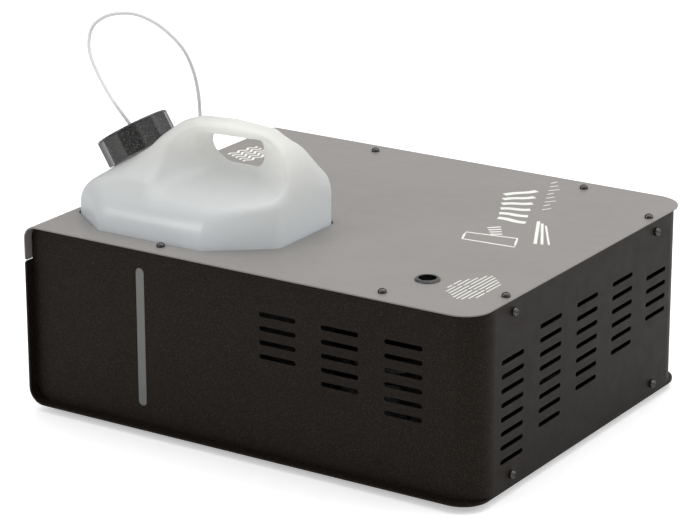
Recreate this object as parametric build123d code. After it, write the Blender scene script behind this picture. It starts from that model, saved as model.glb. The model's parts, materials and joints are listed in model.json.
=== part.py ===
from build123d import *
import math
import os

# Fog machine with a lift-out fluid bottle. Millimetres.
# Every function below works from the centre of the casing's footprint on the floor: +X runs towards
# the vented end, +Y towards the connector side, +Z up. The smoke leaves at -X, through the nozzle.
# The tube's loop overhangs the nozzle end, so main() moves everything by CASING_SHIFT to put the
# finished part's origin at the centre of its overall box on the floor.

# ---- driving dimensions ----
BODY_LENGTH = 480.0
BODY_WIDTH = 396.0
CASE_HEIGHT = 173.6
FOOT_HEIGHT = 7.0
CASING_SHIFT = 8.0
BASE_SHEET = 2.0
SHEET = 1.2

NEAR_CORNER_RADIUS = 25.0
FAR_CORNER_RADIUS = 31.0
WRAP_CORNER_RADIUS = 25.0
BASE_BEND_RADIUS = 16.0
COVER_BEND_RADIUS = 12.0
NEAR_RECESS = 9.0
FAR_RECESS = 13.0
SEAM_Z = 146.0
SEAM_GAP = 1.0
SEAM_CORNER_RADIUS = 2.5

VENT_LENGTH = 38.5
VENT_HEIGHT = 4.5
VENT_ROW_PITCH = 13.1
VENT_TOP_Z = 140.2
NEAR_VENT_X = (34.0, 99.0, 164.0)
NEAR_VENT_ROWS = (4, 5, 6)
FAR_VENT_X = (-185.0, -120.0, -55.0)
FAR_VENT_ROWS = (6, 6, 6)
END_VENT_PITCH = 66.5
END_VENT_ROWS = (8, 8, 7, 6, 4)

HEAD_RADIUS = 4.0
HEAD_HEIGHT = 3.6
SHANK_RADIUS = 2.0
CLEARANCE_RADIUS = 2.2
THREAD_RADIUS = 2.05

BOTTLE_CENTRE = (-114.5, -85.0)
BOTTLE_HALF_LENGTH = 109.5
BOTTLE_HALF_WIDTH = 86.0
BOTTLE_CORNER_RADIUS = 14.0
BOTTLE_WALL = 2.0
SCOOP_OFFSET = 58.0
SCOOP_RADIUS = 42.0
SCOOP_X = (-100.0, -38.0)
SCOOP_Z = 262.0
WELL_GAP = 1.8

CAP_TILT = 32.2
CAP_BASE = (-185.0, -85.0, 232.0)
CAP_RADIUS = 35.5
CAP_HEIGHT = 26.0
CAP_DISH = 3.0
CAP_TOP_THICKNESS = 3.0
BUSH_HOLE_RADIUS = 7.0
CAP_FLUTES = 12
FLUTE_DEPTH = 1.6
FLUTE_RADIUS = 60.0
NECK_RADIUS = 30.5
NECK_BORE = 27.0
NECK_HEIGHT = 17.0
PICK_UP_LENGTH = 252.0

TUBE_RADIUS = 1.8
TUBE_BORE_RADIUS = 1.1
GROMMET_SPOT = (-185.5, 14.0)
GROMMET_HOLE_RADIUS = 5.0

LEVEL_SLOT_WIDTH = 9.5
LEVEL_SLOT_X = -115.5
LEVEL_SLOT_Z = (26.5, 159.3)

SOCKET_SPOT = (152.5, -131.0)
SOCKET_FLANGE_RADIUS = 11.5
SOCKET_BORE = 8.15
SOCKET_PROUD = 2.0
SOCKET_CHAMFER = 1.4

HEATER_X = (-215.0, -35.0)
HEATER_Y = (62.0, 132.0)
HEATER_Z = (60.0, 116.0)
NOZZLE_OPENING_RADIUS = 12.5
CARTRIDGE_OFFSET = 19.0
CARTRIDGE_RADIUS = 6.0

PUMP_SPOT = (70.0, 100.0)

BOARD_X = (50.0, 185.0)
BOARD_Y = (-150.0, -70.0)
BOARD_Z = 20.0

# ---- derived places ----
END_X = BODY_LENGTH / 2
EDGE_Y = BODY_WIDTH / 2
BASE_Z = FOOT_HEIGHT
FLOOR_Z = BASE_Z + BASE_SHEET
TOP_Z = FOOT_HEIGHT + CASE_HEIGHT
CEILING_Z = TOP_Z - SHEET
NEAR_WALL = -EDGE_Y + NEAR_RECESS
FAR_WALL = EDGE_Y - FAR_RECESS
NEAR_INSIDE = NEAR_WALL + SHEET
FAR_INSIDE = FAR_WALL - SHEET
END_INSIDE = END_X - SHEET
FLANGE_WIDTH = 11.0
TAB_WIDTH = 14.5
FIT = 0.2

BOTTLE_BOTTOM = FLOOR_Z + SHEET + 0.2
PICK_UP_TOP = NECK_HEIGHT + 2.0
HEATER_MID_Y = sum(HEATER_Y) / 2
HEATER_MID_Z = sum(HEATER_Z) / 2
CAP_PLATE_TOP = CAP_HEIGHT - CAP_DISH
CAP_PLATE_UNDERSIDE = CAP_PLATE_TOP - CAP_TOP_THICKNESS
CAP_PLANE = Plane(
    origin=CAP_BASE,
    x_dir=(math.cos(math.radians(CAP_TILT)), 0, math.sin(math.radians(CAP_TILT))),
    z_dir=(-math.sin(math.radians(CAP_TILT)), 0, math.cos(math.radians(CAP_TILT))),
)

# ---- screw positions ----
NEAR_SCREW_Y = NEAR_INSIDE + 7.0
FAR_SCREW_Y = FAR_INSIDE - 4.5
END_SCREW_Y = (-133.0, 130.5)
END_COVER_SCREW_INSET = 8.0
COVER_SCREWS = [(x, y) for x in (-97.0, 137.5) for y in (NEAR_SCREW_Y, FAR_SCREW_Y)]
COVER_SCREWS += [(END_X - END_COVER_SCREW_INSET, y) for y in END_SCREW_Y]
END_SCREW_Z = (19.0, 168.5)
LEFT_SCREW_Z = (50.0, 125.0, 157.0)
LEFT_SCREW_Y = (NEAR_INSIDE + 8.0, FAR_INSIDE - 8.0)
FLANGE_BASE_SCREWS = [(x, y) for x in (-140.0, 0.0, 140.0) for y in (NEAR_SCREW_Y, FAR_SCREW_Y)]
BRACKET_BASE_SCREWS = [(END_X - 14.0, y) for y in END_SCREW_Y]
WELL_TAB_SCREWS = [(6.5, BOTTLE_CENTRE[1] - 15), (6.5, BOTTLE_CENTRE[1] + 15)]
FEET = [(x, y) for x in (-207.0, 207.0) for y in (-160.0, 160.0)]

# ---- connector side: places along the far wall ----
PANEL_Z = 48.0
INLET_X = 190.0
FUSE_X = 146.0
SWITCH_X = 112.0
LAMP_X = 82.0
BUTTON_X = 56.0
ROCKER_TILT = 12.0
ROCKER_AXIS_Y = FAR_WALL - 3.0


def block(x, y, z):
    """Box between three (low, high) ranges."""
    centre = [(low + high) / 2 for low, high in (x, y, z)]
    size = [high - low for low, high in (x, y, z)]
    return Pos(*centre) * Box(*size)


def rod(start, end, radius):
    """Cylinder from one point to another."""
    along = Vector(*end) - Vector(*start)
    return extrude(Plane(origin=start, z_dir=along) * Circle(radius), along.length)


def ring(start, end, outer, inner):
    """Tube from one point to another."""
    return rod(start, end, outer) - rod(start, end, inner)


def upright(spot, z, radius):
    """Vertical cylinder at a spot, between two heights."""
    return rod((*spot, z[0]), (*spot, z[1]), radius)


def on_cap(distance, radius, height):
    """Cylinder on the cap's axis, starting a distance above the cap's lower rim."""
    cylinder = Cylinder(radius, height, align=(Align.CENTER, Align.CENTER, Align.MIN))
    return CAP_PLANE.offset(distance).location * cylinder


def outline(points, rounds):
    """Closed face through points, with a corner radius (or 0) for each point."""
    face = make_face(Polyline(*points, close=True))
    for point, radius in zip(points, rounds):
        if radius:
            corner = face.vertices().sort_by_distance(Vector(*point, 0))[0]
            face = fillet(corner, radius)
    return face


def side_solid(face, y):
    """Extrude an X-Z face between two Y values."""
    return extrude(Plane((0, y[1], 0), x_dir=(1, 0, 0), z_dir=(0, -1, 0)) * face, y[1] - y[0])


def footprint():
    """Plan of the base and cover: square at the nozzle end, rounded at the vented end."""
    points = [(-END_X, -EDGE_Y), (END_X, -EDGE_Y), (END_X, EDGE_Y), (-END_X, EDGE_Y)]
    return outline(points, [0, NEAR_CORNER_RADIUS, FAR_CORNER_RADIUS, 0])


def bottle_plan():
    """Plan of the bottle, with its four cut corners."""
    x, y = BOTTLE_CENTRE
    left, right = x - BOTTLE_HALF_LENGTH, x + BOTTLE_HALF_LENGTH
    near, far = y - BOTTLE_HALF_WIDTH, y + BOTTLE_HALF_WIDTH
    points = [
        (left, near + 36), (left + 50, near), (right - 54, near), (right, near + 43),
        (right, far - 40.5), (right - 54, far), (left + 50, far), (left, far - 36),
    ]
    return outline(points, [BOTTLE_CORNER_RADIUS] * len(points))


def screw(length, head_radius=HEAD_RADIUS, head_height=HEAD_HEIGHT, shank=SHANK_RADIUS):
    """Pan-head screw with a cross recess. The head's underside is at z = 0, the shank below."""
    head = Cylinder(head_radius, head_height, align=(Align.CENTER, Align.CENTER, Align.MIN))
    head = fillet(head.edges().sort_by(Axis.Z)[-1], head_height * 0.7)
    body = head + Cylinder(shank, length, align=(Align.CENTER, Align.CENTER, Align.MAX))
    slot = Pos(0, 0, head_height) * Box(head_radius, 0.8, head_height)
    return body - slot - Rot(0, 0, 90) * slot


def screws(places, outward, length, **sizes):
    """Identical screws, heads seated at the places, facing outward."""
    template = screw(length, **sizes)
    return Compound([Plane(origin=place, z_dir=outward).location * template for place in places])


def drill(part, places, direction, radius, depth=8.0):
    """Drill a hole through a part at each place, both ways along a direction."""
    reach = Vector(*direction) * depth
    for place in places:
        spot = Vector(*place)
        part -= rod(tuple(spot - reach), tuple(spot + reach), radius)
    return part


# ---- casing ----
def bent_sheet(edge_z, plate_z, sheet, bend_radius):
    """A plate at plate_z with a panel bent from it at the nozzle end, as far as edge_z."""
    inward = sheet if plate_z < edge_z else -sheet
    inner = -END_X + sheet
    points = [
        (-END_X, edge_z), (-END_X, plate_z), (END_X, plate_z),
        (END_X, plate_z + inward), (inner, plate_z + inward), (inner, edge_z),
    ]
    section = outline(points, [0, bend_radius, 0, 0, bend_radius - sheet, 0])
    bent = side_solid(section, (-EDGE_Y, EDGE_Y)) & extrude(footprint(), TOP_Z)
    low, high = sorted((edge_z, plate_z))
    corners = [(-EDGE_Y, low), (EDGE_Y, low), (EDGE_Y, high), (-EDGE_Y, high)]
    rounds = [SEAM_CORNER_RADIUS if z == edge_z else 0 for _, z in corners]
    end_plane = Plane((-END_X, 0, 0), x_dir=(0, 1, 0), z_dir=(1, 0, 0))
    return bent & extrude(end_plane * outline(corners, rounds), BODY_LENGTH)


def base_pan():
    """Base plate with the nozzle-end panel bent up from it."""
    pan = bent_sheet(SEAM_Z, BASE_Z, BASE_SHEET, BASE_BEND_RADIUS)
    below = [(x, y, BASE_Z) for x, y in FLANGE_BASE_SCREWS + BRACKET_BASE_SCREWS + WELL_TAB_SCREWS]
    pan = drill(pan, below, (0, 0, 1), CLEARANCE_RADIUS)
    pan = drill(pan, [(x, y, BASE_Z) for x, y in FEET], (0, 0, 1), THREAD_RADIUS)
    left = [(-END_X, y, z) for y in LEFT_SCREW_Y for z in LEFT_SCREW_Z[:2]]
    pan = drill(pan, left, (1, 0, 0), CLEARANCE_RADIUS)
    return drill(pan, [(-END_X, HEATER_MID_Y, HEATER_MID_Z)], (1, 0, 0), NOZZLE_OPENING_RADIUS)


def top_cover():
    """Cover plate with a short flange bent down at the nozzle end."""
    cover = bent_sheet(SEAM_Z + SEAM_GAP, TOP_Z, SHEET, COVER_BEND_RADIUS)
    cover -= Pos(0, 0, CEILING_Z - 1) * extrude(offset(bottle_plan(), WELL_GAP), SHEET + 2)
    cover = drill(cover, [(x, y, TOP_Z) for x, y in COVER_SCREWS], (0, 0, 1), CLEARANCE_RADIUS)
    left = [(-END_X, y, LEFT_SCREW_Z[2]) for y in LEFT_SCREW_Y]
    cover = drill(cover, left, (1, 0, 0), CLEARANCE_RADIUS)
    cover = drill(cover, [(*SOCKET_SPOT, TOP_Z)], (0, 0, 1), SOCKET_BORE + 1.5)
    return drill(cover, [(*GROMMET_SPOT, TOP_Z)], (0, 0, 1), GROMMET_HOLE_RADIUS)


def vents(centres, counts, tops):
    """Columns of horizontal slots as faces in wall coordinates (along the wall, height)."""
    slot = SlotOverall(VENT_LENGTH, VENT_HEIGHT)
    faces = []
    for centre, count, top in zip(centres, counts, tops):
        faces += [Pos(centre, top - VENT_ROW_PITCH * row) * slot for row in range(count)]
    return faces


def wrap_plan(inset, left):
    """Plan of the side wrap's outer or inner surface."""
    near, far, right = NEAR_WALL + inset, FAR_WALL - inset, END_X - inset
    radius = WRAP_CORNER_RADIUS - inset
    return outline([(left, near), (right, near), (right, far), (left, far)], [0, radius, radius, 0])


def between_sheets():
    """Space between the base and the cover, with clearance at the bent corners."""
    left = -END_X + BASE_SHEET + FIT
    points = [(left, FLOOR_Z), (END_X, FLOOR_Z), (END_X, CEILING_Z), (left, CEILING_Z)]
    return side_solid(outline(points, [BASE_BEND_RADIUS, 0, 0, COVER_BEND_RADIUS]), (-EDGE_Y, EDGE_Y))


def side_wrap():
    """Near wall, vented end and far wall in one bent sheet, with flanges for the screws."""
    left = -END_X + BASE_SHEET + FIT
    walls = extrude(wrap_plan(0, left), TOP_Z) - extrude(wrap_plan(SHEET, left - 20), TOP_Z)
    wrap = walls & between_sheets()
    for wall, inward in ((NEAR_INSIDE, 1), (FAR_INSIDE, -1)):
        flange_y = sorted((wall, wall + inward * FLANGE_WIDTH))
        tab_y = sorted((wall, wall + inward * TAB_WIDTH))
        wrap += block((-220, 212), flange_y, (FLOOR_Z, FLOOR_Z + SHEET))
        wrap += block((-226, 212), flange_y, (CEILING_Z - SHEET, CEILING_Z))
        wrap += block((left, left + SHEET), tab_y, (40, 165))
    wrap = drill(wrap, [(x, y, CEILING_Z) for x, y in COVER_SCREWS[:4]], (0, 0, 1), THREAD_RADIUS)
    wrap = drill(wrap, [(x, y, FLOOR_Z) for x, y in FLANGE_BASE_SCREWS], (0, 0, 1), THREAD_RADIUS)
    left_screws = [(left, y, z) for y in LEFT_SCREW_Y for z in LEFT_SCREW_Z]
    end_screws = [(END_X, y, z) for y in END_SCREW_Y for z in END_SCREW_Z]
    wrap = drill(wrap, left_screws, (1, 0, 0), THREAD_RADIUS)
    wrap = drill(wrap, end_screws, (1, 0, 0), CLEARANCE_RADIUS)
    wrap -= near_openings()
    wrap -= end_openings()
    return wrap - far_openings()


def near_openings():
    """Three stepped columns of vents and the level window's slot, through the near wall."""
    faces = vents(NEAR_VENT_X, NEAR_VENT_ROWS, [VENT_TOP_Z] * 3)
    faces.append(level_slot(0))
    return [side_solid(face, (NEAR_WALL - 2, NEAR_INSIDE + 2)) for face in faces]


def level_slot(gap):
    """Face of the level window's upright slot, made smaller by a gap."""
    low, high = LEVEL_SLOT_Z
    slot = SlotOverall(high - low - gap, LEVEL_SLOT_WIDTH - gap)
    return Pos(LEVEL_SLOT_X, (low + high) / 2) * Rot(0, 0, 90) * slot


def end_openings():
    """Five columns of vents through the vented end, their lower ends stepping up."""
    lower = VENT_TOP_Z - VENT_ROW_PITCH
    tops = (lower, VENT_TOP_Z, VENT_TOP_Z, VENT_TOP_Z, lower)
    centres = [END_VENT_PITCH * step for step in (-2, -1, 0, 1, 2)]
    faces = vents(centres, END_VENT_ROWS, tops)
    wall = Plane((END_INSIDE - 2, 0, 0), x_dir=(0, 1, 0), z_dir=(1, 0, 0))
    return [extrude(wall * face, SHEET + 4) for face in faces]


def far_openings():
    """Vents beside the heater and the connector cut-outs, through the far wall."""
    through = (FAR_INSIDE - 2, FAR_WALL + 2)
    cuts = [side_solid(face, through) for face in vents(FAR_VENT_X, FAR_VENT_ROWS, [VENT_TOP_Z] * 3)]
    cuts.append(block((INLET_X - 13.7, INLET_X + 13.7), through, (PANEL_Z - 10, PANEL_Z + 10)))
    cuts.append(block((SWITCH_X - 11, SWITCH_X + 11), through, (PANEL_Z - 15, PANEL_Z + 15)))
    inlet_screws = ((INLET_X - 20, 1.7), (INLET_X + 20, 1.7))
    for x, radius in ((FUSE_X, 6.6), (LAMP_X, 4.2), (BUTTON_X, 7.1), *inlet_screws):
        cuts.append(rod((x, through[0], PANEL_Z), (x, through[1], PANEL_Z), radius))
    return cuts


def end_brackets():
    """Four angle brackets that tie the cover and the base to the vented end."""
    parts = []
    back = END_INSIDE - 0.1
    for y in END_SCREW_Y:
        width = (y - 15, y + 15)
        upper = block((back - 20, back), width, (CEILING_Z - SHEET, CEILING_Z))
        upper += block((back - SHEET, back), width, (CEILING_Z - 22, CEILING_Z))
        upper = drill(upper, [(END_X - END_COVER_SCREW_INSET, y, CEILING_Z)], (0, 0, 1), THREAD_RADIUS, 3)
        parts.append(drill(upper, [(back, y, END_SCREW_Z[1])], (1, 0, 0), THREAD_RADIUS, 3))
        lower = block((back - 20, back), width, (FLOOR_Z, FLOOR_Z + SHEET))
        lower += block((back - SHEET, back), width, (FLOOR_Z, FLOOR_Z + 22))
        lower = drill(lower, [(END_X - 14, y, FLOOR_Z)], (0, 0, 1), THREAD_RADIUS, 3)
        parts.append(drill(lower, [(back, y, END_SCREW_Z[0])], (1, 0, 0), THREAD_RADIUS, 3))
    return Compound(parts)


def cover_screws():
    """Six screws through the cover."""
    return screws([(x, y, TOP_Z) for x, y in COVER_SCREWS], (0, 0, 1), 8)


def case_screws():
    """Identical short screws: vented end, nozzle end and underside."""
    places = {
        (1, 0, 0): [(END_X, y, z) for y in END_SCREW_Y for z in END_SCREW_Z],
        (-1, 0, 0): [(-END_X, y, z) for y in LEFT_SCREW_Y for z in LEFT_SCREW_Z],
        (0, 0, -1): [(x, y, BASE_Z) for x, y in FLANGE_BASE_SCREWS + BRACKET_BASE_SCREWS + WELL_TAB_SCREWS],
    }
    return Compound([screws(spots, outward, 6) for outward, spots in places.items()])


def rubber_feet():
    """Four tapered rubber feet, each with a counterbore for its screw."""
    foot = Cone(12.5, 11, FOOT_HEIGHT, align=(Align.CENTER, Align.CENTER, Align.MAX))
    foot = Rot(180, 0, 0) * foot
    foot = fillet(foot.edges().sort_by(Axis.Z)[0], 1.2)
    foot -= Cylinder(CLEARANCE_RADIUS, FOOT_HEIGHT, align=(Align.CENTER, Align.CENTER, Align.MIN))
    foot -= Cylinder(4.6, 4.0, align=(Align.CENTER, Align.CENTER, Align.MIN))
    return Compound([Pos(x, y, 0) * foot for x, y in FEET])


def foot_screws():
    """Four self-tapping screws that hold the feet."""
    return screws([(x, y, 4.0) for x, y in FEET], (0, 0, -1), 7)


# ---- bottle well and level window ----
def bottle_well():
    """Open tray that holds the bottle, with a sight slot and a screw tab on the base."""
    height = CEILING_Z - 0.1 - FLOOR_Z
    well = Pos(0, 0, FLOOR_Z) * extrude(offset(bottle_plan(), WELL_GAP + SHEET), height)
    well -= Pos(0, 0, FLOOR_Z + SHEET) * extrude(offset(bottle_plan(), WELL_GAP), height)
    well &= between_sheets()
    near = BOTTLE_CENTRE[1] - BOTTLE_HALF_WIDTH - WELL_GAP
    sight = (LEVEL_SLOT_X - 8, LEVEL_SLOT_X + 8)
    well -= block(sight, (near - SHEET - 2, near + 2), LEVEL_SLOT_Z)
    tab_y = (BOTTLE_CENTRE[1] - 22, BOTTLE_CENTRE[1] + 22)
    well += block((-1, 13), tab_y, (FLOOR_Z, FLOOR_Z + SHEET))
    return drill(well, [(x, y, FLOOR_Z) for x, y in WELL_TAB_SCREWS], (0, 0, 1), THREAD_RADIUS, 3)


def level_window():
    """Translucent strip: a backing plate behind the near wall and a bar that fills the slot."""
    width = (LEVEL_SLOT_X - 10, LEVEL_SLOT_X + 10)
    height = (LEVEL_SLOT_Z[0] - 8, LEVEL_SLOT_Z[1] + 8)
    plate = block(width, (NEAR_INSIDE + 0.05, NEAR_INSIDE + 3), height)
    return plate + side_solid(level_slot(0.3), (NEAR_WALL + 0.5, NEAR_INSIDE + 1))


# ---- bottle and cap ----
def bottle_side(inset):
    """Side view of the bottle: shoulder rising to the handle and falling to the far end."""
    left, right = BOTTLE_CENTRE[0] - BOTTLE_HALF_LENGTH, BOTTLE_CENTRE[0] + BOTTLE_HALF_LENGTH
    points = [
        (left, BOTTLE_BOTTOM), (left, 202), (-134, 272), (-84, 277.4), (-42.5, 274.5), (-16.5, 260),
        (right, 249.5), (right, BOTTLE_BOTTOM),
    ]
    rounds = [12, 24, 30, 60, 24, 14, 8, 12]
    return offset(outline(points, rounds), -inset) if inset else outline(points, rounds)


def bottle_front(inset):
    """End view of the bottle: broad body, sloping flanks and a narrow handle on top."""
    mid = BOTTLE_CENTRE[1]
    half = [
        (BOTTLE_HALF_WIDTH, BOTTLE_BOTTOM), (BOTTLE_HALF_WIDTH, 197), (60, 225.5), (35, 237.5), (20, 246),
        (17, 281),
    ]
    points = [(mid + y, z) for y, z in half] + [(mid - y, z) for y, z in reversed(half)]
    rounds = [12, 18, 10, 12, 6, 8, 8, 6, 12, 10, 18, 12]
    return offset(outline(points, rounds), -inset) if inset else outline(points, rounds)


def bottle_form(inset):
    """The bottle as the common volume of its plan, side view and end view."""
    plan = offset(bottle_plan(), -inset) if inset else bottle_plan()
    form = extrude(plan, 300)
    form &= side_solid(bottle_side(inset), (-EDGE_Y, EDGE_Y))
    end_plane = Plane((-END_X, 0, 0), x_dir=(0, 1, 0), z_dir=(1, 0, 0))
    return form & extrude(end_plane * bottle_front(inset), BODY_LENGTH)


def handle_hole(grow):
    """Finger hole under the handle bar, through the bottle's width."""
    points = [(-114, 258), (-96, 267), (-50, 267.5), (-42, 262), (-42, 238), (-60, 235.5), (-90, 236.5)]
    face = outline(points, [4, 8, 8, 4, 6, 8, 8])
    if grow:
        face = offset(face, grow)
    return side_solid(face, (-EDGE_Y, EDGE_Y))


def hand_scoops(grow):
    """Hollow on each side of the handle, where the fingers reach in."""
    scoops = Part()
    for side in (-1, 1):
        y = BOTTLE_CENTRE[1] + side * SCOOP_OFFSET
        left, right = (SCOOP_X[0], y, SCOOP_Z), (SCOOP_X[1], y, SCOOP_Z)
        scoops += rod(left, right, SCOOP_RADIUS + grow)
        scoops += [Pos(*end) * Sphere(SCOOP_RADIUS + grow) for end in (left, right)]
    return scoops


def neck_seat(grow):
    """Round flat on the shoulder that the cap's rim stands over."""
    return on_cap(-0.5 - grow, CAP_RADIUS + 1.5 + grow, 50)


def fluid_bottle():
    """Blow-moulded hollow bottle with a handle and a tilted neck."""
    neck_foot = 15.0
    outer = bottle_form(0) - handle_hole(0) - hand_scoops(0) - neck_seat(0)
    inner = bottle_form(BOTTLE_WALL) - handle_hole(BOTTLE_WALL)
    inner -= hand_scoops(BOTTLE_WALL) + neck_seat(BOTTLE_WALL)
    outer += on_cap(-neck_foot, NECK_RADIUS, neck_foot + NECK_HEIGHT)
    bottle = outer - inner
    return bottle - on_cap(-neck_foot - 5, NECK_BORE, neck_foot + NECK_HEIGHT + 6)


def bottle_cap():
    """Fluted screw cap with a dished top. The thread is left out, so the skirt's bore is plain."""
    cap = on_cap(0, CAP_RADIUS, CAP_HEIGHT)
    cap = fillet(cap.edges().sort_by(Axis(CAP_PLANE.origin, CAP_PLANE.z_dir))[-1], 1.5)
    cutter = Cylinder(FLUTE_RADIUS, CAP_HEIGHT, align=(Align.CENTER, Align.CENTER, Align.MIN))
    reach = CAP_RADIUS - FLUTE_DEPTH + FLUTE_RADIUS
    for step in range(CAP_FLUTES):
        turn = Rot(0, 0, 360 / CAP_FLUTES * step)
        cap -= CAP_PLANE.location * turn * Pos(reach, 0, -2) * cutter
    cap -= on_cap(-1, NECK_RADIUS + 0.4, CAP_PLATE_UNDERSIDE + 1)
    cap -= on_cap(CAP_PLATE_TOP, CAP_RADIUS - 4.5, CAP_DISH + 1)
    return cap - on_cap(0, BUSH_HOLE_RADIUS, CAP_HEIGHT + 1)


def cap_seal():
    """Flat sealing ring between the neck's rim and the cap."""
    low = NECK_HEIGHT + 1.3
    thickness = CAP_PLATE_UNDERSIDE - 0.1 - low
    hole = on_cap(low - 1, BUSH_HOLE_RADIUS + 0.2, thickness + 2)
    return on_cap(low, NECK_RADIUS - 0.3, thickness) - hole


def hose_fitting():
    """Bush through the cap that grips the tube, so that the cap turns around it."""
    foot = NECK_HEIGHT - 6
    inner_flange = on_cap(NECK_HEIGHT - 1.5, 11, 2.6)
    stem = on_cap(foot, BUSH_HOLE_RADIUS - 0.1, CAP_PLATE_TOP + 0.1 - foot)
    outer_flange = on_cap(CAP_PLATE_TOP + 0.1, 9.5, 1.4)
    nipple = on_cap(CAP_PLATE_TOP + 0.1, 4.0, CAP_DISH - 0.2)
    return inner_flange + stem + outer_flange + nipple - on_cap(0, TUBE_RADIUS + 0.1, 40)


def dip_tube():
    """Pick-up tube from the hose fitting to the far end of the bottle's floor."""
    foot = PICK_UP_TOP - PICK_UP_LENGTH
    bore = on_cap(foot - 1, TUBE_BORE_RADIUS, PICK_UP_LENGTH + 2)
    return on_cap(foot, TUBE_RADIUS, PICK_UP_LENGTH) - bore


def intake_filter():
    """Slotted strainer on the end of the pick-up tube."""
    foot = PICK_UP_TOP - PICK_UP_LENGTH
    strainer = on_cap(foot - 8, 6, 20)
    return strainer - on_cap(foot, TUBE_RADIUS + 0.05, 20) - on_cap(foot - 6, 1.5, 10)


# ---- fluid path ----
def fluid_tube():
    """Clear tube: a free loop from the cap to the grommet, then down and along to the pump."""
    start = CAP_PLANE.offset(CAP_PLATE_TOP + 0.5).origin
    rim = CAP_PLANE.offset(CAP_HEIGHT + 0.5).origin
    loop = [
        tuple(start), tuple(rim), (-227, -84, 286), (-251, -76, 312), (-257.5, -66, 336), (-231, -51, 351.5),
        (-200, -32, 337), (-183.5, -14, 304), (-181, -2, 268), (-183.5, 8, 226), (*GROMMET_SPOT, TOP_Z + 6),
    ]
    outside = Spline(*loop, tangents=[CAP_PLANE.z_dir, Vector(0, 0, -1)])
    low_z = 24.0
    x, y = GROMMET_SPOT
    run = FilletPolyline(
        (x, y, TOP_Z + 6), (x, y, low_z), (30, y, low_z), (PUMP_SPOT[0], PUMP_SPOT[1], low_z - 4.5),
        (*PUMP_SPOT, 33.5), radius=4,
    )
    path = outside + run
    section = Plane(origin=start, z_dir=CAP_PLANE.z_dir) * Circle(TUBE_RADIUS)
    return sweep(section, path=path, transition=Transition.ROUND)


def tube_grommet():
    """Rubber grommet in the cover."""
    low, high = CEILING_Z, TOP_Z
    body = upright(GROMMET_SPOT, (low, high), 4.95)
    body += upright(GROMMET_SPOT, (high + 0.02, high + 1.8), 7)
    body += upright(GROMMET_SPOT, (low - 1.8, low - 0.02), 7)
    body += upright(GROMMET_SPOT, (low - 1, high + 1), 4.95)
    return body - upright(GROMMET_SPOT, (low - 5, high + 5), TUBE_RADIUS + 0.1)


def pump_body():
    """Pump barrel with its plunger bore, inlet spigot and outlet boss."""
    body = upright(PUMP_SPOT, (38, 118), 9) + upright(PUMP_SPOT, (30, 38), 4)
    body -= upright(PUMP_SPOT, (20, 120), 1.5)
    body -= upright(PUMP_SPOT, (20, 34), TUBE_RADIUS + 0.1)
    body -= upright(PUMP_SPOT, (55, 98), 6)
    return body - upright(PUMP_SPOT, (108, 119), 5)


def pump_coil():
    """Winding on its bobbin."""
    return upright(PUMP_SPOT, (50.1, 85.9), 19) - upright(PUMP_SPOT, (40, 95), 9.1)


def pump_yoke():
    """Steel yoke around the coil."""
    x, y = PUMP_SPOT
    yoke = block((x - 23, x + 23), (y - 14, y + 14), (47, 89))
    yoke -= block((x - 20, x + 20), (y - 20, y + 20), (50, 86))
    yoke -= upright(PUMP_SPOT, (40, 95), 9.1)
    return drill(yoke, [(x + 22, y, z) for z in (58, 78)], (1, 0, 0), THREAD_RADIUS, 3)


def pump_plunger():
    """Steel plunger with a fluid passage."""
    return upright(PUMP_SPOT, (55.1, 80), 5.95) - upright(PUMP_SPOT, (50, 90), 1.5)


def pump_spring():
    """Return spring above the plunger."""
    wire = 0.5
    height = 98 - 80 - 2 * wire - 0.2
    path = Helix(pitch=height / 5, height=height, radius=4.6)
    coil = sweep(Plane(origin=path @ 0, z_dir=path % 0) * Circle(wire), path=path)
    return Pos(*PUMP_SPOT, 80 + wire + 0.1) * coil


def pump_outlet_fitting():
    """Brass union between the pump and the feed pipe."""
    fitting = upright(PUMP_SPOT, (108, 118), 4.95)
    fitting += Pos(*PUMP_SPOT, 118) * extrude(RegularPolygon(8, 6), 9)
    fitting -= upright(PUMP_SPOT, (100, 130), 1.6)
    return fitting - upright(PUMP_SPOT, (114, 130), TUBE_RADIUS + 0.1)


def pump_bracket():
    """Angle that carries the pump through its rubber isolators."""
    x, y = PUMP_SPOT
    plate = block((x + 27, x + 29), (y - 14, y + 14), (FLOOR_Z, 88))
    foot = block((x + 27, x + 52), (y - 14, y + 14), (FLOOR_Z, FLOOR_Z + 2))
    return drill(plate + foot, [(x + 28, y, z) for z in (58, 78)], (1, 0, 0), CLEARANCE_RADIUS, 3)


def pump_isolators():
    """Rubber spacers between the yoke and the bracket."""
    x, y = PUMP_SPOT
    return Compound([ring((x + 23, y, z), (x + 27, y, z), 7, CLEARANCE_RADIUS) for z in (58, 78)])


def pump_screws():
    """Screws through the bracket and isolators into the yoke."""
    x, y = PUMP_SPOT
    return screws([(x + 29, y, z) for z in (58, 78)], (1, 0, 0), 8.5)


def feed_pipe():
    """Metal pipe from the pump's union over to the heater's inlet."""
    x, y = PUMP_SPOT
    inlet_x = HEATER_X[1] + 15
    path = FilletPolyline(
        (x, y, 116), (x, y, 150), (20, HEATER_MID_Y, 150), (20, HEATER_MID_Y, HEATER_MID_Z),
        (inlet_x, HEATER_MID_Y, HEATER_MID_Z), radius=9,
    )
    return sweep(Pos(x, y, 116) * Circle(TUBE_RADIUS), path=path)


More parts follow.
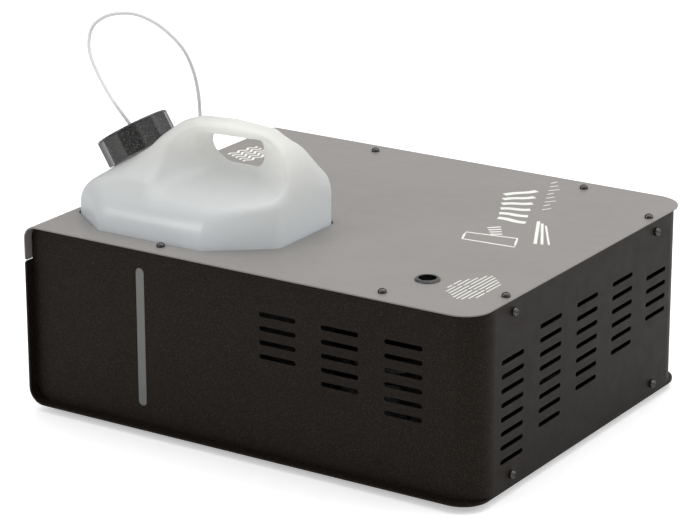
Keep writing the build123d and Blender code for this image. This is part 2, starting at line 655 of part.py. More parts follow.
# ---- heater ----
def heater_half(z):
    """One aluminium half of the heater block, grooved for the tube and the cartridges."""
    half = block(HEATER_X, HEATER_Y, z)
    ends = (HEATER_X[0] - 1, HEATER_X[1] + 1)
    cartridges = ((-CARTRIDGE_OFFSET, CARTRIDGE_RADIUS), (CARTRIDGE_OFFSET, CARTRIDGE_RADIUS))
    for shift, radius in (*cartridges, (0, 4)):
        y = HEATER_MID_Y + shift
        half -= rod((ends[0], y, HEATER_MID_Z), (ends[1], y, HEATER_MID_Z), radius + 0.05)
    return half


def clamp_spots():
    """Clamp bolt positions along both edges of the heater block."""
    return [(x, y) for x in (-190, -95) for y in (HEATER_Y[0] + 4.5, HEATER_Y[1] - 4.5)]


def heater_block_lower():
    """Lower half, tapped for the clamp bolts."""
    half = heater_half((HEATER_Z[0], HEATER_MID_Z - 0.1))
    return drill(half, [(x, y, HEATER_MID_Z) for x, y in clamp_spots()], (0, 0, 1), THREAD_RADIUS, 20)


def heater_block_upper():
    """Upper half, with clearance for the clamp bolts."""
    half = heater_half((HEATER_MID_Z + 0.1, HEATER_Z[1]))
    return drill(half, [(x, y, HEATER_MID_Z) for x, y in clamp_spots()], (0, 0, 1), CLEARANCE_RADIUS, 40)


def heater_clamp_bolts():
    """Four bolts that clamp the halves together."""
    return screws([(x, y, HEATER_Z[1]) for x, y in clamp_spots()], (0, 0, 1), 40)


def heater_cartridges():
    """Two rod heaters that lie between the halves."""
    low, high = HEATER_X[0] + 2, HEATER_X[1] + 8
    rods = []
    for shift in (-CARTRIDGE_OFFSET, CARTRIDGE_OFFSET):
        y = HEATER_MID_Y + shift
        rods.append(rod((low, y, HEATER_MID_Z), (high, y, HEATER_MID_Z), CARTRIDGE_RADIUS))
    return Compound(rods)


def evaporator_tube():
    """Steel tube through the block, from the feed pipe to the nozzle."""
    low, high = -231.0, HEATER_X[1] + 26
    tube = rod((low, HEATER_MID_Y, HEATER_MID_Z), (high, HEATER_MID_Y, HEATER_MID_Z), 4)
    tube -= rod((low - 1, HEATER_MID_Y, HEATER_MID_Z), (HEATER_X[1], HEATER_MID_Y, HEATER_MID_Z), 1.5)
    bore_start = (HEATER_X[1] - 1, HEATER_MID_Y, HEATER_MID_Z)
    return tube - rod(bore_start, (high + 1, HEATER_MID_Y, HEATER_MID_Z), 2.1)


def heater_insulation():
    """Ceramic-fibre sleeve around the block."""
    low_x, high_x = -200.0, -80.0
    (low_y, high_y), (low_z, high_z) = HEATER_Y, HEATER_Z
    sleeve = block((low_x, high_x), (low_y - 11, high_y + 11), (low_z - 14, high_z + 14))
    return sleeve - block((low_x - 1, high_x + 1), (low_y - 0.5, high_y + 0.5), (low_z - 5, high_z + 5))


def heater_brackets():
    """Two stands at the ends of the block."""
    stands = []
    for face, outward in ((HEATER_X[0], -1), (HEATER_X[1], 1)):
        plate_x = sorted((face + outward * 0.05, face + outward * 2.05))
        foot_x = sorted((face - outward * 14, face + outward * 2.05))
        stand = block(plate_x, (HEATER_Y[0] - 8, HEATER_Y[1] + 8), (FLOOR_Z, HEATER_Z[1] - 6))
        stand += block(foot_x, (HEATER_Y[0] - 8, HEATER_Y[1] + 8), (FLOOR_Z, FLOOR_Z + 2))
        for shift, radius in ((-CARTRIDGE_OFFSET, 7), (0, 5), (CARTRIDGE_OFFSET, 7)):
            stand = drill(stand, [(face, HEATER_MID_Y + shift, HEATER_MID_Z)], (1, 0, 0), radius, 4)
        stands.append(stand)
    return Compound(stands)


def thermostat():
    """Bimetal thermostat on the block."""
    spot = (-57.0, HEATER_MID_Y - 16)
    base = HEATER_Z[1]
    return upright(spot, (base, base + 4), 12) + upright(spot, (base + 4, base + 12), 8)


def thermal_cutout():
    """One-shot thermal cut-out on the block."""
    y = HEATER_MID_Y + 16
    return block((-68, -46), (y - 5, y + 5), (HEATER_Z[1], HEATER_Z[1] + 8))


def heat_shield():
    """Sheet between the heater and the bottle well."""
    shield = block((-218, -15), (24, 25.5), (FLOOR_Z, 150))
    return shield + block((-218, -15), (24, 36), (FLOOR_Z, FLOOR_Z + SHEET))


def nozzle():
    """Brass nozzle on the evaporator tube, standing out of the end panel."""
    outer = -END_X - 9
    body = rod((-222, HEATER_MID_Y, HEATER_MID_Z), (outer, HEATER_MID_Y, HEATER_MID_Z), 8)
    hex_plane = Plane((-236, HEATER_MID_Y, HEATER_MID_Z), x_dir=(0, 1, 0), z_dir=(1, 0, 0))
    body += extrude(hex_plane * RegularPolygon(11, 6), 10)
    body -= rod((-233, HEATER_MID_Y, HEATER_MID_Z), (-221, HEATER_MID_Y, HEATER_MID_Z), 4.05)
    body -= rod((-234, HEATER_MID_Y, HEATER_MID_Z), (outer - 1, HEATER_MID_Y, HEATER_MID_Z), 1.6)
    cone = Plane((outer + 5, HEATER_MID_Y, HEATER_MID_Z), z_dir=(-1, 0, 0)).location
    return body - cone * Cone(1.6, 6, 5.2, align=(Align.CENTER, Align.CENTER, Align.MIN))


# ---- electronics ----
def board_corners():
    """Mounting holes of the control board."""
    return [(x, y) for x in (BOARD_X[0] + 6, BOARD_X[1] - 6) for y in (BOARD_Y[0] + 6, BOARD_Y[1] - 6)]


def control_board():
    """Bare board with its four mounting holes."""
    board = block(BOARD_X, BOARD_Y, (BOARD_Z, BOARD_Z + 1.6))
    return drill(board, [(*spot, BOARD_Z) for spot in board_corners()], (0, 0, 1), 1.7, 3)


def board_standoffs():
    """Four pillars with a spigot that snaps through the board."""
    return Compound([upright(spot, (FLOOR_Z, BOARD_Z), 3.5) + upright(spot, (BOARD_Z, BOARD_Z + 4), 1.6)
                     for spot in board_corners()])


def transformer_core():
    """Laminated core with its two windows."""
    core = block((60, 104), (-132, -96), (BOARD_Z + 1.6, BOARD_Z + 40))
    for x in (68, 88):
        core -= block((x, x + 8), (-134, -94), (BOARD_Z + 9, BOARD_Z + 33))
    return core


def transformer_winding():
    """Winding around the core's middle limb."""
    coil = block((68.2, 95.8), (-139, -89), (BOARD_Z + 9.2, BOARD_Z + 32.8))
    coil -= block((75.9, 88.1), (-132.1, -95.9), (BOARD_Z + 9, BOARD_Z + 33))
    return coil


def relay():
    """Sealed relay."""
    case = block((118, 147), (-108, -95), (BOARD_Z + 1.6, BOARD_Z + 27))
    return fillet(case.edges().group_by(Axis.Z)[-1], 0.8)


def capacitors():
    """Three electrolytic capacitors."""
    cans = []
    for spot, radius, height in (((120, -130), 8, 26), ((142, -130), 8, 26), ((164, -130), 5, 14)):
        can = upright(spot, (BOARD_Z + 1.6, BOARD_Z + 1.6 + height), radius)
        cans.append(fillet(can.edges().sort_by(Axis.Z)[-1], 0.8))
    return Compound(cans)


def wiring():
    """Four insulated leads between the board, pump, heater and switch."""
    x, y = PUMP_SPOT
    cartridge_y = HEATER_MID_Y - CARTRIDGE_OFFSET
    to_pump = [(130, -80, 23), (130, -80, 60), (130, y + 35, 60), (x, y + 35, 60), (x, y + 20.5, 60)]
    to_heater = [
        (56, -85, 23), (56, -85, 45), (10, -30, 45), (10, cartridge_y, 45),
        (10, cartridge_y, HEATER_MID_Z), (HEATER_X[1] + 9.6, cartridge_y, HEATER_MID_Z),
    ]
    to_switch = [
        (160, -80, 23), (160, -80, 50), (160, 120, 50), (SWITCH_X, 140, PANEL_Z), (SWITCH_X, 156.5, PANEL_Z),
    ]
    to_inlet = [(176, -85, 23), (176, -85, 44), (INLET_X, 120, 44), (INLET_X, 153.5, PANEL_Z)]
    routes = [to_pump, to_heater, to_switch, to_inlet]
    leads = []
    for points in routes:
        path = FilletPolyline(*points, radius=5)
        leads.append(sweep(Plane(origin=points[0], z_dir=path % 0) * Circle(1.3), path=path))
    return Compound(leads)


# ---- connectors and controls ----
def mains_inlet():
    """Three-pin appliance inlet with screw ears."""
    body = block((INLET_X - 13.5, INLET_X + 13.5), (161, FAR_WALL), (PANEL_Z - 9.8, PANEL_Z + 9.8))
    flange = side_solid(Pos(INLET_X, PANEL_Z) * RectangleRounded(50, 23, 4), (FAR_WALL, FAR_WALL + 2.5))
    body += flange
    body -= block((INLET_X - 12, INLET_X + 12), (168, FAR_WALL + 5), (PANEL_Z - 8, PANEL_Z + 8))
    ears = [(INLET_X - 20, FAR_WALL, PANEL_Z), (INLET_X + 20, FAR_WALL, PANEL_Z)]
    body = drill(body, ears, (0, 1, 0), 1.7)
    return drill(body, pin_places(), (0, 1, 0), 1.55, 20)


def pin_places():
    """Roots of the inlet's line, neutral and earth pins."""
    return [(INLET_X - 7, 160, PANEL_Z - 2), (INLET_X, 160, PANEL_Z + 2), (INLET_X + 7, 160, PANEL_Z - 2)]


def inlet_pins():
    """Three contact pins."""
    return Compound([rod((x, y - 5, z), (x, y + 23, z), 1.5) for x, y, z in pin_places()])


def inlet_screws():
    """Two small screws through the inlet's ears."""
    ears = [(INLET_X - 20, FAR_WALL + 2.5, PANEL_Z), (INLET_X + 20, FAR_WALL + 2.5, PANEL_Z)]
    return screws(ears, (0, 1, 0), 7, head_radius=2.9, head_height=1.8, shank=1.5)


def along_far(x, y, radius):
    """Cylinder across the far wall at the connector height."""
    return rod((x, y[0], PANEL_Z), (x, y[1], PANEL_Z), radius)


def fuse_holder():
    """Panel fuse holder, open at the front."""
    holder = along_far(FUSE_X, (144, FAR_WALL), 6.4) + along_far(FUSE_X, (FAR_WALL, FAR_WALL + 2), 8.5)
    return holder - along_far(FUSE_X, (147, FAR_WALL + 3), 5.1)


def fuse_link():
    """Glass cartridge fuse."""
    return along_far(FUSE_X, (150, 170), 2.5)


def fuse_cap():
    """Fuse carrier cap with a screwdriver slot."""
    cap = along_far(FUSE_X, (165, FAR_WALL + 2), 5.0) + along_far(FUSE_X, (FAR_WALL + 2, FAR_WALL + 7), 6.5)
    cap -= along_far(FUSE_X, (160, 171), 2.6)
    slot_z = (PANEL_Z - 0.7, PANEL_Z + 0.7)
    return cap - block((FUSE_X - 5, FUSE_X + 5), (FAR_WALL + 5, FAR_WALL + 8), slot_z)


def power_switch_frame():
    """Bezel and body of the rocker switch."""
    frame = side_solid(Pos(SWITCH_X, PANEL_Z) * RectangleRounded(25, 33, 2), (FAR_WALL, FAR_WALL + 2))
    frame += block((SWITCH_X - 10.8, SWITCH_X + 10.8), (158, FAR_WALL), (PANEL_Z - 14.8, PANEL_Z + 14.8))
    frame -= block((SWITCH_X - 9, SWITCH_X + 9), (168, FAR_WALL + 3), (PANEL_Z - 13, PANEL_Z + 13))
    axle = ((SWITCH_X - 10, ROCKER_AXIS_Y, PANEL_Z), (SWITCH_X + 10, ROCKER_AXIS_Y, PANEL_Z))
    return frame - rod(*axle, 1.55)


def power_switch_rocker():
    """Rocker on its stub axles, resting with the upper end pressed in."""
    slab = block((-8.8, 8.8), (-2, 5.5), (-12, 12))
    dish = Pos(0, 17.5 + 5.5 - 1.6, 0) * Rot(0, 90, 0) * Cylinder(17.5, 30)
    rocker = slab - dish + rod((-9.8, 0, 0), (9.8, 0, 0), 1.5)
    return Pos(SWITCH_X, ROCKER_AXIS_Y, PANEL_Z) * Rot(ROCKER_TILT, 0, 0) * rocker


def ready_lamp():
    """Indicator lamp with a domed lens."""
    lamp = along_far(LAMP_X, (165, FAR_WALL), 4.1) + along_far(LAMP_X, (FAR_WALL, FAR_WALL + 1.5), 6)
    dome = Pos(LAMP_X, FAR_WALL + 1.5, PANEL_Z) * Sphere(4.5)
    return lamp + (dome & block((0, 200), (FAR_WALL + 1, 200), (0, 100)))


def fog_button_bezel():
    """Threaded bush of the manual fog button."""
    bezel = along_far(BUTTON_X, (165, FAR_WALL), 7.0) + along_far(BUTTON_X, (FAR_WALL, FAR_WALL + 2.5), 9)
    return bezel - along_far(BUTTON_X, (168, FAR_WALL + 4), 5.6)


def fog_button():
    """Round push button."""
    button = along_far(BUTTON_X, (173, FAR_WALL + 6.5), 5.5)
    return fillet(button.edges().sort_by(Axis.Y)[-1], 1)


def remote_socket_shell():
    """Round chassis socket for the remote control, in the cover."""
    shell = upright(SOCKET_SPOT, (158, TOP_Z), SOCKET_BORE + 1.4)
    collar = upright(SOCKET_SPOT, (TOP_Z, TOP_Z + SOCKET_PROUD), SOCKET_FLANGE_RADIUS)
    shell += chamfer(collar.edges().sort_by(Axis.Z)[-1], SOCKET_CHAMFER)
    shell -= upright(SOCKET_SPOT, (150, TOP_Z + 5), SOCKET_BORE)
    x, y = SOCKET_SPOT
    keyway = block((x - 1.2, x + 1.2), (y - SOCKET_BORE - 1, y), (TOP_Z - 3, TOP_Z + 5))
    return shell - keyway


def contact_spots():
    """Five contacts on a half circle."""
    x, y = SOCKET_SPOT
    angles = [math.radians(a) for a in range(90, 271, 45)]
    return [(x + 5 * math.cos(a), y + 5 * math.sin(a)) for a in angles]


def remote_socket_insert():
    """Moulded insert that holds the contacts."""
    insert = upright(SOCKET_SPOT, (160, TOP_Z - 4), SOCKET_BORE - 0.05)
    for spot in contact_spots():
        insert -= upright(spot, (150, TOP_Z), 1.1)
    return insert


def remote_socket_contacts():
    """Tubular contacts with solder tails."""
    contacts = []
    for spot in contact_spots():
        contacts.append(upright(spot, (153, TOP_Z - 4.5), 1.05) - upright(spot, (165, TOP_Z), 0.7))
    return Compound(contacts)


PARTS = [
    base_pan, top_cover, side_wrap, end_brackets, cover_screws, case_screws,
    rubber_feet, foot_screws, bottle_well, level_window, fluid_bottle, bottle_cap, cap_seal, hose_fitting,
    dip_tube, intake_filter, fluid_tube, tube_grommet, pump_body, pump_coil, pump_yoke, pump_plunger,
    pump_spring, pump_outlet_fitting, pump_bracket, pump_isolators, pump_screws, feed_pipe,
    heater_block_lower, heater_block_upper, heater_clamp_bolts, heater_cartridges, evaporator_tube,
    heater_insulation, heater_brackets, thermostat, thermal_cutout, heat_shield, nozzle, control_board,
    board_standoffs, transformer_core, transformer_winding, relay, capacitors, wiring, mains_inlet,
    inlet_pins, inlet_screws, fuse_holder, fuse_link, fuse_cap, power_switch_frame, power_switch_rocker,
    ready_lamp, fog_button_bezel, fog_button, remote_socket_shell, remote_socket_insert,
    remote_socket_contacts,
]


def main():
    """Build every sub-part and write one file for each."""
    os.makedirs("parts", exist_ok=True)
    for build in PARTS:
        export_step(Pos(CASING_SHIFT, 0, 0) * build(), f"parts/{build.__name__}.step")


main()
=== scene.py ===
import json
import math

import bpy
import numpy as np
import openvdb
from mathutils import Matrix, Vector


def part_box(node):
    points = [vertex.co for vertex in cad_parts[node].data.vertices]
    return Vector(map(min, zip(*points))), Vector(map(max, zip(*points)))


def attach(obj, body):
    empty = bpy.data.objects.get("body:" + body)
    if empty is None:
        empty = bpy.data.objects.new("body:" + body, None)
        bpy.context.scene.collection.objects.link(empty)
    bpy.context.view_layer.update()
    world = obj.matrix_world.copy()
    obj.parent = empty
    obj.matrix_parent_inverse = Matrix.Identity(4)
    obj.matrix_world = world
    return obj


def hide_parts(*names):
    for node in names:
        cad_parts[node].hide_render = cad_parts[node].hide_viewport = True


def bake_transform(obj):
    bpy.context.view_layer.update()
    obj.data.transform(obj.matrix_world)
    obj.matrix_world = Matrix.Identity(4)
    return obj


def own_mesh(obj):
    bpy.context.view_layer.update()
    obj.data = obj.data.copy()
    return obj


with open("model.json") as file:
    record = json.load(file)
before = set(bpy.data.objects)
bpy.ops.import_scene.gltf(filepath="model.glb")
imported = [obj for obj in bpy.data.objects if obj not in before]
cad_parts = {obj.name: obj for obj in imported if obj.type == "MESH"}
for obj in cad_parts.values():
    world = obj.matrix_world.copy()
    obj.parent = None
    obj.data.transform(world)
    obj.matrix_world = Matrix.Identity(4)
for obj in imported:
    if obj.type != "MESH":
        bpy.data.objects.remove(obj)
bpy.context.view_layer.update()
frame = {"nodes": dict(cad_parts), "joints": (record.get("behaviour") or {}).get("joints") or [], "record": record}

MM = 0.001
NODES = frame["nodes"]
RECORD = frame["record"]
JOINTS = {joint["name"]: joint for joint in frame["joints"]}
SLOT_OF = {row["node"]: row["material_slot"] for row in RECORD["subparts"]}
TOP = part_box("top_cover")[1].z
CASE_LOW, CASE_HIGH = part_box("top_cover")
CASE_X = (CASE_LOW.x + CASE_HIGH.x) / 2
CAP_AXIS = Vector(JOINTS["cap_turn"]["axis"]).normalized()
CAP_FOOT = Vector(JOINTS["cap_turn"]["pos_m"])


# ---------------------------------------------------------------- materials
class Graph:
    """A small helper for building one material's node tree."""

    def __init__(self, name):
        self.material = bpy.data.materials.new(name)
        self.material.use_nodes = True
        self.tree = self.material.node_tree
        self.tree.nodes.clear()
        self.coords = self.add("ShaderNodeTexCoord").outputs["Object"]

    def add(self, kind, **settings):
        node = self.tree.nodes.new(kind)
        for key, value in settings.items():
            setattr(node, key, value)
        return node

    def set(self, socket, value):
        if isinstance(value, bpy.types.NodeSocket):
            self.tree.links.new(value, socket)
        else:
            socket.default_value = value

    def noise(self, scale, detail=2.0, roughness=0.5, coords=None):
        node = self.add("ShaderNodeTexNoise")
        self.set(node.inputs["Vector"], coords or self.coords)
        self.set(node.inputs["Scale"], scale)
        self.set(node.inputs["Detail"], detail)
        self.set(node.inputs["Roughness"], roughness)
        return node.outputs["Fac"]

    def remap(self, value, low, high, to_low=0.0, to_high=1.0):
        node = self.add("ShaderNodeMapRange")
        for key, number in zip(("Value", "From Min", "From Max", "To Min", "To Max"),
                               (value, low, high, to_low, to_high)):
            self.set(node.inputs[key], number)
        return node.outputs["Result"]

    def mix(self, factor, a, b):
        node = self.add("ShaderNodeMix", data_type="RGBA")
        self.set(node.inputs["Factor"], factor)
        for key, colour in (("A", a), ("B", b)):
            self.set(node.inputs[key], colour if isinstance(colour, bpy.types.NodeSocket) else (*colour, 1))
        return node.outputs["Result"]

    def math(self, operation, a, b=0.0):
        node = self.add("ShaderNodeMath", operation=operation)
        self.set(node.inputs[0], a)
        self.set(node.inputs[1], b)
        return node.outputs[0]

    def bevel(self, radius):
        node = self.add("ShaderNodeBevel", samples=4)
        self.set(node.inputs["Radius"], radius)
        return node.outputs["Normal"]

    def bump(self, height, distance, strength=1.0, normal=None):
        node = self.add("ShaderNodeBump")
        self.set(node.inputs["Height"], height)
        self.set(node.inputs["Distance"], distance)
        self.set(node.inputs["Strength"], strength)
        if normal is not None:
            self.set(node.inputs["Normal"], normal)
        return node.outputs["Normal"]

    def principled(self, **values):
        node = self.add("ShaderNodeBsdfPrincipled")
        for key, value in values.items():
            self.set(node.inputs[key.replace("_", " ")], value)
        return node.outputs["BSDF"]

    def finish(self, shader):
        output = self.add("ShaderNodeOutputMaterial")
        self.set(output.inputs["Surface"], shader)
        return self.material


def shade(colour, factor):
    """A colour made darker or lighter."""
    return tuple(channel * factor for channel in colour)


def textured(name, colour, rough, grain, height, spread=0.25, metal=0.0, edge=0.4, fleck=None, **extra):
    """A finish with grain in its colour, roughness and relief.

    Grain is the grain's size in mm, height its relief in mm, and edge the radius of worn edges in mm.
    Fleck is the colour of small lighter specks.
    """
    g = Graph(name)
    fine = g.noise(1000 / grain, 3, 0.6)
    broad = g.noise(14, 2)
    tone = g.mix(g.remap(fine, 0.35, 0.65), shade(colour, 1 - spread), shade(colour, 1 + spread))
    tone = g.mix(g.remap(broad, 0.3, 0.7, 0, 0.25), tone, shade(colour, 1.25))
    if fleck:
        tone = g.mix(g.remap(g.noise(1000 / grain, 1, 0.4), 0.58, 0.72), tone, fleck)
    roughness = g.remap(g.noise(60, 3), 0.3, 0.7, rough * 0.9, min(rough * 1.12, 1))
    normal = g.bump(fine, height * MM, 1.0, g.bevel(edge * MM))
    shader = g.principled(Base_Color=tone, Roughness=roughness, Metallic=metal, Normal=normal, **extra)
    return g.finish(shader)


def brushed(name, colour, rough, stretch=(1, 1, 60)):
    """Machined or plated metal with fine directional lines."""
    g = Graph(name)
    mapping = g.add("ShaderNodeMapping")
    g.set(mapping.inputs["Vector"], g.coords)
    mapping.inputs["Scale"].default_value = stretch
    lines = g.noise(220, 3, 0.6, mapping.outputs["Vector"])
    stain = g.noise(35, 4, 0.6)
    tone = g.mix(g.remap(stain, 0.35, 0.7), shade(colour, 0.78), colour)
    roughness = g.remap(lines, 0.3, 0.7, rough * 0.8, rough * 1.3)
    normal = g.bump(lines, 0.02 * MM, 0.6, g.bevel(0.3 * MM))
    return g.finish(g.principled(Base_Color=tone, Roughness=roughness, Metallic=1.0, Normal=normal))


def translucent_plastic(name, colour, tint, rough, through, height_range):
    """Milky polyethylene: light passes partly through, and the tint changes with height."""
    g = Graph(name)
    height = g.add("ShaderNodeSeparateXYZ")
    g.set(height.inputs[0], g.coords)
    rise = g.remap(height.outputs["Z"], *height_range)
    cloud = g.noise(28, 4, 0.55)
    tone = g.mix(rise, tint, colour)
    tone = g.mix(g.remap(cloud, 0.35, 0.7, 0, 0.12), tone, shade(colour, 0.86))
    peel = g.noise(260, 3, 0.5)
    normal = g.bump(peel, 0.05 * MM, 0.5)
    body = g.principled(
        Base_Color=tone, Roughness=rough, Normal=normal, IOR=1.5, Specular_IOR_Level=0.35,
        Coat_Weight=0.45, Coat_Roughness=0.22, Coat_Normal=normal)
    glow = g.add("ShaderNodeBsdfTranslucent")
    g.set(glow.inputs["Color"], tone)
    blend = g.add("ShaderNodeMixShader")
    g.set(blend.inputs[0], through)
    g.set(blend.inputs[1], body)
    g.set(blend.inputs[2], glow.outputs[0])
    return g.finish(blend.outputs[0])


def clear_plastic(name, colour, rough, clearness):
    """Flexible clear tube: mostly see-through, brighter at its edges."""
    g = Graph(name)
    streak = g.noise(300, 2)
    normal = g.bump(streak, 0.03 * MM, 0.5)
    body = g.principled(Base_Color=(*colour, 1), Roughness=rough, Normal=normal, IOR=1.45)
    see = g.add("ShaderNodeBsdfTransparent")
    facing = g.add("ShaderNodeLayerWeight")
    facing.inputs["Blend"].default_value = 0.35
    blend = g.add("ShaderNodeMixShader")
    g.set(blend.inputs[0], g.remap(facing.outputs["Facing"], 0.0, 1.0, 1 - clearness, 1.0))
    g.set(blend.inputs[1], see.outputs[0])
    g.set(blend.inputs[2], body)
    return g.finish(blend.outputs[0])


def fibre(name, colour):
    """Matt ceramic-fibre blanket."""
    g = Graph(name)
    strands = g.noise(420, 6, 0.7)
    tufts = g.noise(60, 4, 0.6)
    tone = g.mix(g.remap(strands, 0.35, 0.65), shade(colour, 0.8), colour)
    normal = g.bump(g.math("ADD", strands, tufts), 0.8 * MM, 0.8)
    return g.finish(g.principled(Base_Color=tone, Roughness=0.95, Sheen_Weight=0.4, Normal=normal))


def make_materials():
    """One finish for each of the record's material slots."""
    black = (0.022, 0.021, 0.020)
    plastic = (0.018, 0.018, 0.019)
    return {
        "black_powder_coat": textured(
            "black_powder_coat", (0.0085, 0.0062, 0.0045), 0.42, 0.8, 0.08, 0.4, fleck=(0.040, 0.032, 0.025),
            Specular_IOR_Level=0.12, Specular_Tint=(1, 0.93, 0.86, 1)),
        "grey_paint": textured("grey_paint", (0.220, 0.207, 0.197), 0.34, 0.7, 0.015, 0.03, edge=0.3),
        "well_paint": textured("well_paint", (0.05, 0.05, 0.05), 0.6, 1.2, 0.05, 0.3),
        "zinc_steel": brushed("zinc_steel", (0.56, 0.57, 0.57), 0.38),
        "machined_steel": brushed("machined_steel", (0.6, 0.6, 0.6), 0.3),
        "black_screws": textured("black_screws", (0.085, 0.085, 0.085), 0.07, 0.8, 0.008, 0.3, 1.0, 0.25),
        "socket_black": textured("socket_black", (0.10, 0.10, 0.10), 0.14, 0.8, 0.01, 0.3, 1.0, 0.25),
        "black_rubber": textured("black_rubber", black, 0.85, 1.0, 0.06, 0.3),
        "window_plastic": translucent_plastic(
            "window_plastic", (0.24, 0.24, 0.23), (0.2, 0.2, 0.2), 0.4, 0.3, (0, 0.2)),
        "natural_hdpe": translucent_plastic(
            "natural_hdpe", (0.925, 0.925, 0.895), (0.885, 0.92, 0.95), 0.3, 0.5, (TOP, TOP + 70 * MM)),
        "black_cap_plastic": textured(
            "black_cap_plastic", (0.010, 0.0095, 0.009), 0.16, 1.0, 0.09, 0.7, fleck=(0.12, 0.115, 0.11),
            Specular_IOR_Level=0.7),
        "black_nylon": textured("black_nylon", plastic, 0.45, 0.8, 0.04, 0.3),
        "clear_tube": clear_plastic("clear_tube", (0.86, 0.87, 0.86), 0.2, 0.35),
        "white_plastic": textured("white_plastic", (0.75, 0.75, 0.71), 0.5, 1.5, 0.03, 0.05),
        "coil_wrap": textured("coil_wrap", (0.42, 0.2, 0.04), 0.5, 2.0, 0.08, 0.2),
        "brass_fitting": brushed("brass_fitting", (0.72, 0.52, 0.24), 0.3, (60, 1, 1)),
        "cast_aluminium": textured("cast_aluminium", (0.62, 0.62, 0.61), 0.5, 1.5, 0.15, 0.12, 1.0),
        "ceramic_fibre": fibre("ceramic_fibre", (0.78, 0.76, 0.70)),
        "board_laminate": textured("board_laminate", (0.015, 0.11, 0.035), 0.35, 3.0, 0.03, 0.25),
        "relay_case": textured("relay_case", (0.010, 0.011, 0.014), 0.4, 1.2, 0.02, 0.15),
        "wire_insulation": textured("wire_insulation", (0.02, 0.02, 0.022), 0.45, 1.5, 0.02, 0.15),
        "nickel_pins": brushed("nickel_pins", (0.66, 0.65, 0.62), 0.22),
        "fuse_glass": clear_plastic("fuse_glass", (0.8, 0.83, 0.83), 0.08, 0.6),
        "rocker_plastic": textured("rocker_plastic", plastic, 0.25, 1.2, 0.02, 0.2),
        "lamp_lens": translucent_plastic(
            "lamp_lens", (0.08, 0.42, 0.12), (0.06, 0.35, 0.1), 0.15, 0.4, (0, 0.1)),
        "button_plastic": textured("button_plastic", (0.42, 0.02, 0.015), 0.35, 1.2, 0.02, 0.12),
    }


def dress_cad_nodes(materials):
    """Give every carried-over CAD node the finish of its slot."""
    for name, node in NODES.items():
        node.data.materials.clear()
        node.data.materials.append(materials[SLOT_OF[name]])


# ---------------------------------------------------------------- mesh helpers
def new_piece(name, vertices, faces, slot, body, materials, replaced=(), smooth=True):
    """A mesh piece in the row frame that rides on a body."""
    mesh = bpy.data.meshes.new(name)
    mesh.from_pydata([tuple(v) for v in vertices], [], [tuple(int(i) for i in f) for f in faces])
    mesh.validate()
    mesh.polygons.foreach_set("use_smooth", [smooth] * len(mesh.polygons))
    mesh.materials.append(materials[slot])
    piece = bpy.data.objects.new(name, mesh)
    bpy.context.scene.collection.objects.link(piece)
    if body:
        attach(piece, body)
    if replaced:
        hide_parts(*replaced)
    return piece


def smooth_max(values, blend):
    """Soft maximum of distance fields: rounds the edges where surfaces meet."""
    result = values[0]
    for value in values[1:]:
        overlap = np.maximum(blend - np.abs(result - value), 0) / blend
        result = np.maximum(result, value) + overlap * overlap * blend / 4
    return result


def smooth_min(a, b, blend):
    """Soft minimum of two distance fields: fills the corner where they join."""
    return -smooth_max([-a, -b], blend)


def ramp(value, low, high):
    """0 below low, 1 above high."""
    return np.clip((value - low) / (high - low), 0, 1)


def move_inwards(points, distance):
    """Corners of a convex anticlockwise outline after its sides move inwards."""
    sides = []
    for (x0, z0), (x1, z1) in zip(points, points[1:] + points[:1]):
        length = math.hypot(x1 - x0, z1 - z0)
        nx, nz = (z1 - z0) / length, (x0 - x1) / length
        sides.append((nx, nz, nx * x0 + nz * z0 - distance))
    corners = []
    for (a1, b1, c1), (a2, b2, c2) in zip(sides[-1:] + sides[:-1], sides):
        det = a1 * b2 - a2 * b1
        corners.append(((c1 * b2 - c2 * b1) / det, (a1 * c2 - a2 * c1) / det))
    return corners


def rounded(across, up, points, radius):
    """Distance to a convex anticlockwise outline whose corners have one radius."""
    corners = move_inwards(points, radius)
    nearest, beyond = [], []
    for (x0, z0), (x1, z1) in zip(corners, corners[1:] + corners[:1]):
        ex, ez = x1 - x0, z1 - z0
        squared = ex * ex + ez * ez
        along = np.clip(((across - x0) * ex + (up - z0) * ez) / squared, 0, 1)
        nearest.append((across - x0 - along * ex) ** 2 + (up - z0 - along * ez) ** 2)
        beyond.append(((across - x0) * ez - (up - z0) * ex) / math.sqrt(squared))
    distance = np.sqrt(np.minimum.reduce(nearest))
    return np.where(np.maximum.reduce(beyond) > 0, distance, -distance) - radius


